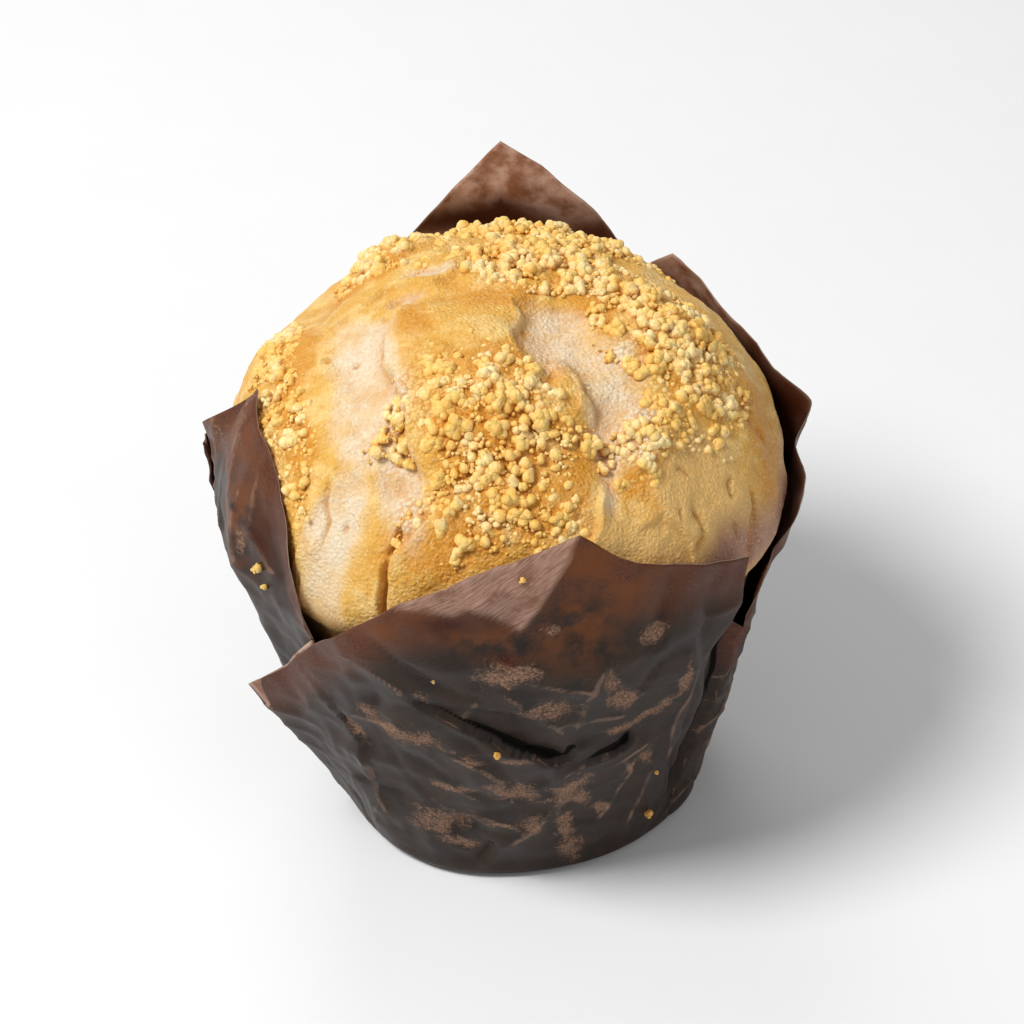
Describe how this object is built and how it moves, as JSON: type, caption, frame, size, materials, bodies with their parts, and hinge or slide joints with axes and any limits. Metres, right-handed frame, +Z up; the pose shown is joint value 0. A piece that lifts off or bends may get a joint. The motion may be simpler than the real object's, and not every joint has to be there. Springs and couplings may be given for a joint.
{
  "type": "muffin",
  "caption": "Domed crumb-topped muffin standing in a flared case folded from one sheet of dark brown paper with pointed corners.",
  "frame": {"origin": "middle of the paper case's flat base, on the surface it stands on", "axes": "+Z up, -Y towards the front corner of the paper, +X to the right as seen from the front"},
  "size_m": [0.0921, 0.0874, 0.0906],
  "materials": {
    "baked_cake": null,
    "brown_paper": "dark brown greaseproof paper with a dull sheen and greasy patches"
  },
  "bodies": {
    "root": {"cake": "baked_cake", "paper_wrap": "brown_paper"}
  },
  "joints": []
}
